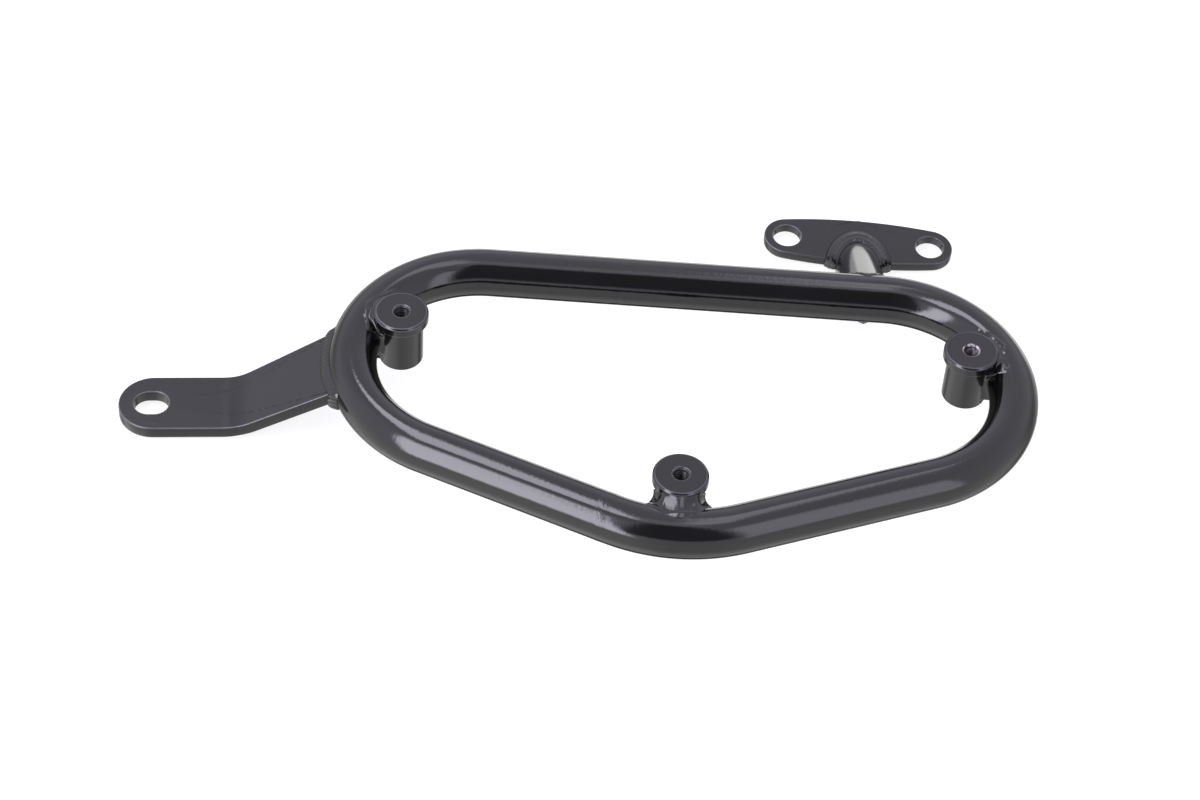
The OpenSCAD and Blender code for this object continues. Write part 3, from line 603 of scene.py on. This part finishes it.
def boss_weld(name, node, bend_in, bend_r, notch_turn, notch_along, angle, place, seed,
              slant=0.0, rough=0.32, ridge=0.0):
    """The weld of a boss as a sleeve of lines from the boss to the tube: over the top, down
    the notch at one end, back under the joint and up the other notch. Low ripples run
    across the faces, bowed towards the way the torch went, over a slower wander. ridge
    is the height of one broad ridge from the boss to the tube, along the middle."""
    s = np.concatenate([np.linspace(0, 0.9, 30)[:-1], np.linspace(0.9, 1, 12)])
    u = np.linspace(-1, 1, 150)
    uu, ss = np.meshgrid(u, s, indexing="ij")
    pitch = RIPPLE_PITCH / (WEB_SPAN / 2)

    def face(upper):
        line, inside = web_chain(uu, upper, bend_in, bend_r, ss, slant)
        bow = uu + 0.10 * (2 * ss - 1) ** 2
        ripple = 0.008 * np.cos(TAU * bow / pitch) * np.sin(np.pi * ss) ** 0.6
        lump = rough * wander(uu * 11, ss * 1.1, seed + upper, 12, (0.5, 1.5))
        lump = lump + ridge * np.exp(-(uu / 0.22) ** 2)
        edge = ease(1 - np.abs(uu), 0.0, 0.12) * np.sin(np.pi * ss) ** 0.5
        lift = (ripple + lump) * edge * (1 if upper else -1)
        return np.concatenate([inside[:, :1], line + vec(0, 0, lift)], axis=1)

    # The notches' lines have the faces' stops, and the one inside the boss before them
    wide = np.concatenate([[0], np.maximum(s, 0.02)])

    def notch(side, upper):
        return web_notch(side, upper, bend_in, bend_r, notch_turn, notch_along,
                         wide)[None]

    def rounded_edge(outer, inner):
        """Two more lines between a face's end and the notch, swelling outwards."""
        return np.concatenate([outer * (1 - k) + inner * k for k in (0.12, 0.5)])

    top, low = face(True), face(False)[::-1]
    grid = np.concatenate([
        top, rounded_edge(top[-1:], notch(1, 1)), notch(1, 1), notch(1, -1),
        rounded_edge(notch(1, -1), low[:1]), low, rounded_edge(low[-1:], notch(-1, -1)),
        notch(-1, -1), notch(-1, 1), rounded_edge(notch(-1, 1), top[:1])])
    grid = turned(grid, angle, place)
    finish_piece(surface(name, grid, wrap_rows=True, wrap_cols=False, sides=True),
                 "weld_coat", [node], WELD_COAT)


# ---------------------------------------------------------------- flat bars with holes

def plate_rows(outline, hole, depth, edge, firm=None, across=26):
    """A flat bar with a hole as rows of a closed band: down the hole's wall, out over the
    upper face, round the rim and back under. outline and hole are matched point for
    point. Each row is a line in the plan, offset from the outline or hole along its
    normal, with a depth under the upper face. firm is 0 where the rim isn't rounded."""
    def normal(line):
        step = np.roll(line, -1, axis=0) - np.roll(line, 1, axis=0)
        return unit(np.stack([step[:, 1], -step[:, 0]], -1))

    firm = np.ones(len(outline)) if firm is None else firm
    wall = hole, normal(hole), np.ones(len(hole))
    rim = outline, -normal(outline), firm
    quarter = np.linspace(0, np.pi / 2, 6)
    # The faces start just beyond the rounded edges, so that they shade flat
    inset = edge + 0.07
    plan, deep, thin_coat_and_painted_light = [], [], []

    def rounded_row(side, angle, top):
        """A row on a rounded edge, at a turn from the wall or rim towards the face."""
        line, way, share = side
        # On a rounded edge: thinner coat and a painted highlight, strongest halfway round
        thin_coat_and_painted_light.append(np.sin(2 * angle) * share)
        plan.append(line + way * (edge * (1 - np.cos(angle)) * share)[:, None])
        down = edge * (1 - np.sin(angle)) * share
        deep.append(down if top else depth - down)

    def faces(top):
        inner, outer = (line + way * (inset * share)[:, None]
                        for line, way, share in (wall, rim))
        share = np.linspace(0, 1, across)
        for s in (share if top else share[::-1]):
            thin_coat_and_painted_light.append(np.zeros(len(hole)))
            plan.append(inner * (1 - s) + outer * s)
            deep.append(np.full(len(hole), 0.0 if top else depth))

    for angle in quarter:
        rounded_row(wall, angle, True)
    faces(True)
    for angle in quarter[::-1]:
        rounded_row(rim, angle, True)
    for angle in quarter:
        rounded_row(rim, angle, False)
    faces(False)
    for angle in quarter[::-1]:
        rounded_row(wall, angle, False)
    return np.array(plan), np.array(deep), np.array(thin_coat_and_painted_light)


def hole_match(outline, centre, half_l, radius):
    """For each outline point, the point of a round or slotted hole in its direction from
    the hole's middle. The hole is two half circles a distance 2 half_l apart along X."""
    a = np.arctan2(outline[:, 1] - centre[1], outline[:, 0] - centre[0])
    c, s = np.cos(a), np.sin(a)
    # The ray in that direction meets the slot's straight side, or else its round end
    to_side = radius / np.maximum(np.abs(s), 1e-9)
    to_end = np.abs(c) * half_l + np.sqrt(np.maximum(radius ** 2 - (half_l * s) ** 2, 0))
    ray = np.where(np.abs(to_side * c) < half_l, to_side, to_end)
    return np.stack([centre[0] + ray * c, centre[1] + ray * s], -1)


# ---------------------------------------------------------------- the strap

# Places along the strap from the end bend's centre: its buried end, the slot, the eye's
# middle, the crank and the tube's skin
STRAP_START = END_BEND_R + 2
SLOT_X = END_BEND_R + TUBE_R + 65.2
EYE_X = SLOT_X + SLOT_L / 2 + EYE_WALL - STRAP_W / 2
CRANK_X = SLOT_X - 31.6
LAND_X = END_BEND_R + TUBE_R
STRAP_RISE = np.arctan2(STRAP_LAND + STRAP_DROP, CRANK_X - LAND_X)
CRANK_TAN = CRANK_R * np.tan(STRAP_RISE / 2)


def at_strap(points):
    """From the strap's own place, X out from the left end bend's centre, to the part's."""
    return turned(points + np.array([0, STRAP_SHIFT, 0]), np.pi + STRAP_TURN,
                  (-END_X, END_Y, 0))


def strap_line(x):
    """Height and slope of the strap's upper face at x: level, an arc of the crank's
    radius, then the straight rise to the tube."""
    bend_from = CRANK_X + CRANK_TAN
    bend_to = CRANK_X - CRANK_TAN * np.cos(STRAP_RISE)
    turn = np.arcsin(np.clip((bend_from - x) / CRANK_R, 0, np.sin(STRAP_RISE)))
    on_arc = -STRAP_DROP + CRANK_R * (1 - np.cos(turn))
    top = -STRAP_DROP + CRANK_TAN * np.sin(STRAP_RISE)
    z = np.where(x > bend_to, on_arc, top + (bend_to - x) * np.tan(STRAP_RISE))
    return z, turn


def strap():
    """The strap's plan as a plate with a slot, laid on the cranked line: each point moves
    down from the upper face, square to the line's slope, by its depth."""
    half = STRAP_W / 2
    spread = (CRANK_X - STRAP_START) / np.cos(STRAP_RISE) * np.tan(STRAP_FLARE)
    tip = np.linspace(-np.pi / 2, np.pi / 2, 60, endpoint=False)
    eye = np.stack([EYE_X + half * np.cos(tip), half * np.sin(tip)], -1)

    def side(a, b, step=0.5):
        n = max(2, int(np.linalg.norm(np.subtract(b, a)) / step))
        t = np.linspace(0, 1, n, endpoint=False)[:, None]
        return np.asarray(a) * (1 - t) + np.asarray(b) * t

    far_a, far_b = (STRAP_START, half + spread), (STRAP_START, -half - spread)
    outline = np.concatenate([
        eye, side((EYE_X, half), (CRANK_X, half)), side((CRANK_X, half), far_a),
        side(far_a, far_b, 1.0), side(far_b, (CRANK_X, -half)),
        side((CRANK_X, -half), (EYE_X, -half))])
    hole = hole_match(outline, (SLOT_X, 0), (SLOT_L - SLOT_W) / 2, SLOT_W / 2)
    plan, deep, thin_coat_and_painted_light = plate_rows(outline, hole, STRAP_T, EDGE_R, across=90)
    z, turn = strap_line(plan[..., 0])
    x = plan[..., 0] - deep * np.sin(turn)
    grid = at_strap(vec(x, plan[..., 1], z - deep * np.cos(turn)))
    finish_piece(surface("strap_bar", grid, wrap_rows=True, thin_coat_and_painted_light=thin_coat_and_painted_light), "bracket_coat",
                 ["strap"], PLATE_COAT)


# ---------------------------------------------------------------- beads

def bead(toe_a, toe_b, root, out, height, along, pitch, ripple, seed, lay=0.0):
    """Rings of a fillet weld. Each ring runs from toe to toe on a parabola of that height,
    then back to the root. Ripples stand across the bead, bowed towards its start, with
    their crest worn off at the toes, and a slow wander lets the width breathe. lay is
    the height of three low ridges that run along the bead, one for each pass."""
    s = np.linspace(0, 1, 22)[None, :, None]
    arc = along[:, None]
    face = toe_a[:, None] * (1 - s) + toe_b[:, None] * s
    bulge = 4 * s[..., 0] * (1 - s[..., 0])
    bow = arc / pitch - 0.55 * (2 * s[..., 0] - 1) ** 2
    crest = np.abs(np.cos(np.pi * bow)) ** 1.3
    lift = height[:, None] * bulge + ripple * (crest - 0.5) * bulge ** 0.7
    lift = lift - lay * np.cos(6 * np.pi * s[..., 0]) * bulge ** 0.5
    lift = lift + 0.10 * bulge * wander(arc * 0.5, s[..., 0] * 3, seed, 10, (0.4, 1.4))
    face = face + unit(out)[:, None] * lift[..., None]
    return np.concatenate([face, root[:, None]], axis=1)


def walk_length(points):
    """Distance along a line of points, from its first."""
    step = np.linalg.norm(np.diff(points, axis=0), axis=1)
    return np.concatenate([[0], np.cumsum(step)])


def slide_to_tube(p, direction):
    """Slides points along a direction until they lie on the end bend's skin, by going
    back each time by their distance to it."""
    s = np.zeros(len(p))
    for _ in range(ROUNDS):
        q = p + s[:, None] * direction
        level = np.hypot(q[:, 0], q[:, 1] + STRAP_SHIFT) - END_BEND_R
        s = s - (np.hypot(level, q[:, 2]) - TUBE_R)
    return p + s[:, None] * direction


def strap_weld():
    """The weld round the strap's end: the strap's section is walked round its four sides,
    with the corners turned in fans, and each stop slides up the strap to the tube."""
    rise = STRAP_RISE
    half = STRAP_W / 2 + (CRANK_X - LAND_X) / np.cos(rise) * np.tan(STRAP_FLARE)
    ahead = np.array([np.cos(rise), 0, -np.sin(rise)])
    up = np.array([np.sin(rise), 0, np.cos(rise)])
    # Each stop is a place across the strap, a depth in it, and its way out, side and top
    fan = np.linspace(0, 90, 16)[1:-1]
    corners = [(-half, 0), (half, 0), (half, STRAP_T), (-half, STRAP_T), (-half, 0)]
    stops = []
    for quarter, count in enumerate((110, 24, 110, 24)):
        a, b = corners[quarter:quarter + 2]
        places = np.concatenate([np.linspace(a, b, count), [b] * len(fan)])
        turns = np.radians(90 * quarter + np.concatenate([np.zeros(count), fan]))
        stops.append(np.column_stack([places, np.sin(turns), np.cos(turns)]))
    v, depth, side, top = np.concatenate(stops).T
    start = vec(LAND_X + 0 * v, v, STRAP_LAND + 0 * v) - depth[:, None] * up
    root = slide_to_tube(start, ahead)
    out = side[:, None] * np.array([0, 1, 0]) + top[:, None] * up
    leg = STRAP_LEG * np.where(top < -0.5, 0.6, 1)[:, None]
    centre = np.array([0, -STRAP_SHIFT, 0])
    toe_a = root + leg * ahead
    toe_b = nearest_on_bend(root + leg * (out + 0.1 * ahead), centre, END_BEND_R)
    height = CROWN * np.linalg.norm(toe_b - toe_a, axis=1)
    rings = bead(toe_a, toe_b, root - 0.6 * ahead - 0.3 * out, out + 0.6 * ahead, height,
                 walk_length(root + out * 0.6), 2.1, 0.28, 21)
    finish_piece(surface("strap_bead", at_strap(rings), wrap_rows=True), "weld_coat",
                 ["strap_weld"], WELD_COAT)


# ---------------------------------------------------------------- flange and its bar

def tip(points):
    """Tilts points about X by the flange's tilt."""
    c, s = np.cos(FLANGE_TILT), np.sin(FLANGE_TILT)
    y, z = points[..., 1], points[..., 2]
    return vec(points[..., 0], y * c - z * s, y * s + z * c)


FLANGE_PLACE = np.array([FLANGE_X, REAR_Y + FLANGE_BACK, -FLANGE_DROP])
BAR_PLACE = np.array([FLANGE_X, REAR_Y, 0])


def at_flange(points):
    """From the flange's place, upper face at z = 0 and holes along X, to the part's."""
    return tip(turned(points, FLANGE_TURN)) + FLANGE_PLACE


def falling(angle):
    """The direction of a bar that falls away to the back, and that of its upper side."""
    c, s = np.cos(angle), np.sin(angle)
    return np.array([0, c, -s]), np.array([0, s, c])


def way_out(a, up):
    """The way out of such a bar at a turn from its upper side."""
    return np.sin(a)[..., None] * np.array([1, 0, 0]) + np.cos(a)[..., None] * up


# The flange's long sides: how far they swell, and their arc's centre, radius and turn
SWELL = FLANGE_MID / 2 - FLANGE_END_R
ARC_BACK = ((HOLE_SPAN / 2) ** 2 - SWELL ** 2) / (2 * SWELL)
ARC_R = ARC_BACK + FLANGE_MID / 2
ARC_TURN = np.arcsin(HOLE_SPAN / 2 / (ARC_R - FLANGE_END_R))


def flange():
    """Two plates with a round hole, one the other turned half round, that meet on the
    middle line: a wide arc, the round end, the other arc, and the middle line, where
    nothing is rounded."""
    half_span, half_mid, fine = HOLE_SPAN / 2, FLANGE_MID / 2, 1e-6
    arc = np.linspace(0, ARC_TURN, 60, endpoint=False)
    lower = np.stack([ARC_R * np.sin(arc), -ARC_R * np.cos(arc) + ARC_BACK], -1)
    a = np.linspace(-np.pi / 2 + ARC_TURN, np.pi / 2 - ARC_TURN, 70)
    end = np.stack([half_span + FLANGE_END_R * np.cos(a), FLANGE_END_R * np.sin(a)], -1)
    upper = lower[:0:-1] * [1, -1]
    middle = np.stack([np.zeros(50), np.linspace(half_mid, -half_mid, 50)], -1)
    outline = np.concatenate([lower[1:], end, upper, middle])
    hole = hole_match(outline, (half_span, 0), 0, HOLE_R)
    firm = np.where(outline[:, 0] < fine, 0.0, ease(outline[:, 0], 0, 1e-3))
    plan, deep, thin_coat_and_painted_light = plate_rows(outline, hole, FLANGE_T, EDGE_R, firm=firm, across=40)
    # Quads on the middle line are left out, so that the two halves merge into one body
    flat = np.abs(plan[..., 0]) < fine
    flat = flat & np.roll(flat, -1, axis=1)
    keep = ~(flat & np.roll(flat, -1, axis=0)).reshape(-1)
    rows, cols = deep.shape
    halves = [vec(plan[..., 0] * side, plan[..., 1] * side, -deep) for side in (1, -1)]
    points = np.concatenate([at_flange(grid).reshape(-1, 3) for grid in halves])
    quads = grid_faces(rows, cols, True, True)[keep]
    quads = np.concatenate([quads, quads + rows * cols])
    thing = make_mesh("flange_plate", points, quads, np.zeros((0, 3), int),
                      np.zeros(len(quads), int), np.stack([thin_coat_and_painted_light, thin_coat_and_painted_light]))
    finish_piece(thing, "bracket_coat", ["flange"], PLATE_COAT)


def stub_bar():
    """A round bar from inside the tube down to the flange's lower face, where it is cut
    level with the flange."""
    a = np.linspace(0, TAU, 96, endpoint=False)
    ahead, up = falling(STUB_FALL)
    skin = STUB_R * way_out(a, up)
    # Length of each line of the skin down to the plane just above the flange's lower face
    plane = np.array([0, -np.sin(FLANGE_TILT), np.cos(FLANGE_TILT)])
    on_plane = np.array([0, FLANGE_BACK, -FLANGE_DROP]) - plane * (FLANGE_T - 0.04)
    stop = ((on_plane - skin) @ plane) / (ahead @ plane)
    inside = 3
    reach = inside + (stop[None] - inside) * np.linspace(0, 1, 60)[:, None]
    grid = skin[None] + reach[..., None] * ahead + BAR_PLACE
    finish_piece(surface("stub_rod", grid, ends=(True, True)), "bracket_coat", ["stub_bar"],
                 TUBE_COAT)


def stub_loop_weld():
    """The bead round the bar where it meets the rear run: the two equal cylinders cross on
    a curve that the bead follows, widest at the sides."""
    a = np.linspace(0, TAU, 260, endpoint=False)
    ahead, up = falling(STUB_FALL)
    out = way_out(a, up)
    deep = np.sqrt(np.maximum(TUBE_R ** 2 - (STUB_R * np.cos(a)) ** 2, 0))
    root = STUB_R * out + deep[:, None] * ahead
    open_ = np.abs(np.sin(a))[:, None]
    toe_a = root + STUB_LEG * (0.5 + 0.5 * open_) * ahead
    p = root + STUB_LEG * (out * open_ - 0.5 * (1 - open_) * ahead)
    toe_b = vec(p[:, 0], 0, 0) + TUBE_R * unit(vec(0 * p[:, 0], p[:, 1], p[:, 2]))
    # The bead lies low on the tube's top line, behind which the bar leaves
    high = (1 - open_[:, 0]) * np.where(np.cos(a) > 0, 0.25, 0.8)
    height = CROWN * np.linalg.norm(toe_b - toe_a, axis=1) + high
    rings = bead(toe_a, toe_b, root - 0.4 * out, out + 0.4 * open_ * ahead, height,
                 walk_length(root), 2.0, 0.06 + 0.20 * open_, 31)
    finish_piece(surface("bar_bead", rings + BAR_PLACE, wrap_rows=True), "weld_coat",
                 ["stub_loop_weld"], WELD_COAT)


# The bar as the flange sees it, with the flange's upper face at z = 0: how steeply it
# falls, its direction and upper side, and the start of its centreline on the tube's
BAR_FALL = STUB_FALL + FLANGE_TILT
BAR_DIR, BAR_UP = falling(BAR_FALL)
BAR_START = np.array([
    0, -FLANGE_BACK * np.cos(FLANGE_TILT) + FLANGE_DROP * np.sin(FLANGE_TILT),
    FLANGE_BACK * np.sin(FLANGE_TILT) + FLANGE_DROP * np.cos(FLANGE_TILT)])


def bar_point(a, z):
    """Where the bar's skin at a turn from its top line meets a height on the flange."""
    a, z = np.broadcast_arrays(a, z)
    skin = BAR_START + STUB_R * way_out(a, BAR_UP)
    return skin + ((z - skin[..., 2]) / BAR_DIR[2])[..., None] * BAR_DIR


def near_edge(x):
    """The flange's near edge at a place along X, after the flange's turn."""
    c, s = np.cos(FLANGE_TURN), np.sin(FLANGE_TURN)
    return ARC_BACK * c - np.sqrt(ARC_R ** 2 - (x + ARC_BACK * s) ** 2)


def edge_turn(z):
    """The turn at which the bar's skin crosses the near edge at a height, by halving."""
    low, high = (np.full(np.shape(z), np.radians(turn)) for turn in (20, 160))
    for _ in range(ROUNDS):
        mid = (low + high) / 2
        p = bar_point(mid, z)
        beyond = p[..., 1] > near_edge(p[..., 0])
        low, high = np.where(beyond, mid, low), np.where(beyond, high, mid)
    return (low + high) / 2


def stub_flange_weld():
    """The arch round the bar on the flange. On the upper face each ring stands square to
    the bar's outline there. At the near edge it turns over a quarter and runs down it."""
    finish_at = float(edge_turn(np.array(0.0)))
    a = np.linspace(-finish_at, finish_at, 200)
    root = bar_point(a, 0.0)
    step = bar_point(a + 0.01, 0.0) - bar_point(a - 0.01, 0.0)
    out = unit(vec(-step[:, 1], step[:, 0], 0))
    toe_a = bar_point(a, FLANGE_LEG * (0.62 + 0.2 * np.abs(np.sin(a))))
    toe_b = root + FLANGE_LEG * out
    lift = unit(toe_a - root)
    arch = [toe_a, toe_b, root, out + lift]

    def down(side):
        """A foot: up the near edge from below, then a quarter turn onto the upper face."""
        share = np.concatenate([np.ones(26), np.linspace(1, 0, 26)[1:-1]])
        depth = np.concatenate([np.linspace(FLANGE_T, 0, 26), np.zeros(24)])
        r = bar_point(side * edge_turn(-depth), -depth)
        outward = np.broadcast_to(np.array([side, 0.0, 0.0]), r.shape)
        q = (1 - share) * np.pi / 2
        front = vec(0, -np.cos(q), np.sin(q))
        # The near toe stays on the bar, which rises away from the flange
        lean = BAR_FALL + (np.pi / 2 - BAR_FALL) * (1 - share)
        near = r + 0.8 * FLANGE_LEG * vec(0, -np.cos(lean), np.sin(lean)) - 0.1 * outward
        x = r[:, 0] + side * FLANGE_LEG
        far = vec(x, near_edge(x), -depth)
        return [near, far, r, outward + front]

    # The arch runs from the bar's right foot over its top line to the left foot
    right, left = down(1), down(-1)
    order = slice(None, None, -1)
    toe_a, toe_b, root, out = (np.concatenate([first, middle[order], last[order]])
                               for first, middle, last in zip(right, arch, left))
    height = CROWN * np.linalg.norm(toe_b - toe_a, axis=1)
    rings = bead(toe_a, toe_b, root, out, height, walk_length(root), 1.9, 0.10, 41, 0.11)
    rings = tip(rings) + FLANGE_PLACE
    finish_piece(surface("flange_bead", rings, ends=(True, True)), "weld_coat",
                 ["stub_flange_weld"], WELD_COAT)


# ---------------------------------------------------------------- the room

def studio():
    """A pale floor, and soft boxes painted on the sky by direction, which light the object
    and show in its coat. The camera sees plain white in their place."""
    world = bpy.data.worlds.new("studio")
    bpy.context.scene.world = world
    world.use_nodes = True
    n = Nodes(world.node_tree)
    way = n.add("ShaderNodeTexCoord", out="Generated")
    x, y, z = (n.add("ShaderNodeSeparateXYZ", {}, way, out=axis) for axis in "XYZ")
    level = (x * x + y * y).math("SQRT")
    el = z.math("ARCTAN2", level) * (180 / np.pi)
    az = x.math("ARCTAN2", y) * (180 / np.pi)

    def window(v, low, high, soft):
        return v.between(low - soft / 2, low + soft / 2) \
            * (1.0 - v.between(high - soft / 2, high + soft / 2))

    def boxes(value, *rows):
        """Adds boxes of light: each has its glow, then twice a direction and where the box
        starts, ends and how wide its soft edge is in that direction."""
        for glow, across, span, up, rise in rows:
            value = value + glow * window(across, *span) * window(up, *rise)
        return value

    # The plain room: walls to the left and right, less light low down, in front and at
    # the bottom, and more at the top
    value = boxes(1.25, (0.45, az, (-165, -60, 40), el, (-70, 62, 20)),
                  (0.1, az, (60, 150, 40), el, (-60, 50, 20)))
    value = value - 0.18 * window(el, -58, -30, 10)
    value = value - 0.95 * window(az, -72, 75, 40) * (1.0 - el.between(-12, 22))
    value = value - 0.4 * (1.0 - el.between(-85, -60)) + 0.6 * el.between(76, 84)
    # The dark of the room behind the camera
    dark = (1.0 - window(az, -153, 148, 9)) * window(el, 14, 82, 8)
    value = value * (1.0 - 0.83 * dark)
    # A tall box behind the camera's left, which leans: it stands further round to the side
    # the higher it reaches. Then a narrow one to the right, the pale table beyond the
    # object, and a white card in front of the flange's bar
    value = boxes(value, (7.6, az - el * 0.45, (-160, -136, 8), el, (1, 56, 10)),
                  (1.7, az, (125, 143, 7), el, (5, 57, 8)),
                  (0.6, az, (-50, 50, 30), el, (-62, -6, 12)),
                  (0.95, az, (-7, 35, 5), el, (-27, -5, 5)))
    # Two long boxes overhead, on a ceiling one away
    ceiling = z.math("MAXIMUM", 0.02)
    px, py = x / ceiling, y / ceiling
    overhead = boxes(0.0, (6.2, px, (-0.38, -0.15, 0.05), py, (-0.1, 0.80, 0.05)),
                     (2.0, px, (0.06, 0.24, 0.05), py, (0.06, 0.68, 0.05)))
    value = value + overhead * z.between(0.25, 0.4)

    seen = n.add("ShaderNodeLightPath", out="Is Camera Ray")
    tint = n.mixed(el.between(-8, 10), (1.0, 1.0, 0.99, 1), (1.0, 0.975, 1.11, 1))
    darkest = 0.06
    room = n.add("ShaderNodeBackground", {}, tint, value.math("MAXIMUM", darkest))
    plain = n.add("ShaderNodeBackground", {}, (1, 1, 1, 1), 1.0)
    mixed = n.add("ShaderNodeMixShader", {}, seen, room, plain)
    n.add("ShaderNodeOutputWorld", {}, mixed)

    finish, m = new_finish("pale_floor")
    place = m.add("ShaderNodeTexCoord", out="Object")
    cloud = m.add("ShaderNodeTexNoise", {}, Vector=place, Scale=3.0, Detail=2.0)
    shader = m.add("ShaderNodeBsdfPrincipled", {}, Base_Color=(0.25, 0.25, 0.25, 1),
                   Roughness=0.8 + cloud * 0.1, Emission_Color=(1, 1, 1, 1),
                   Emission_Strength=0.82)
    m.add("ShaderNodeOutputMaterial", {}, shader)
    gap = 0.2
    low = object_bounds()[0][2] * 1000 - gap
    a = np.linspace(0, TAU, 64, endpoint=False)
    r = np.array([0.5, 2500.0])[:, None]
    grid = vec(r * np.cos(a), r * np.sin(a) + 60, low)
    floor = surface("floor", grid, ends=(True, False))
    floor.data.materials.append(finish)
    floor.visible_glossy = False
    floor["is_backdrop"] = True


def camera():
    """The photograph's viewpoint, in metres: across the loop from the front, 47 degrees
    down, through a long lens."""
    place = (-0.0356, -0.7379, 0.8299)
    right, up, back = ((0.9977, 0.0465, 0.0503), (-0.0683, 0.7266, 0.6836),
                       (-0.0048, -0.6855, 0.7281))
    eye = bpy.data.cameras.new("camera")
    eye.lens, eye.sensor_width, eye.sensor_fit = 93.64, 36.0, "HORIZONTAL"
    eye.clip_end = 20
    thing = bpy.data.objects.new("camera", eye)
    bpy.context.scene.collection.objects.link(thing)
    pose = Matrix([right, up, back]).transposed().to_4x4()
    pose.translation = place
    thing.matrix_world = pose
    bpy.context.scene.camera = thing


loop_tube()
loop_seam_weld()
spatter()
boss("front_boss_turned", "front_boss", -np.pi / 2, (0, 0, 0), DARK_THREAD)
boss("left_boss_turned", "left_boss", *end_boss_place(-1), DARK_THREAD)
boss("right_boss_turned", "right_boss", *end_boss_place(1), BARE_THREAD)
boss_weld("front_boss_bead", "front_boss_weld", FRONT_Y, FRONT_BEND_R, np.radians(50),
          np.radians(8), -np.pi / 2, (0, 0, 0), 5, slant=np.radians(22), rough=0.10,
          ridge=0.5)
boss_weld("left_boss_bead", "left_boss_weld", END_BEND_R - END_BOSS_IN, END_BEND_R,
          np.radians(69), np.radians(12.5), *end_boss_place(-1), 7, slant=np.radians(8))
boss_weld("right_boss_bead", "right_boss_weld", END_BEND_R - END_BOSS_IN, END_BEND_R,
          np.radians(69), np.radians(12.5), *end_boss_place(1), 9)
strap()
strap_weld()
flange()
stub_bar()
stub_loop_weld()
stub_flange_weld()
studio()
camera()
bpy.context.scene.view_settings.view_transform = "Standard"
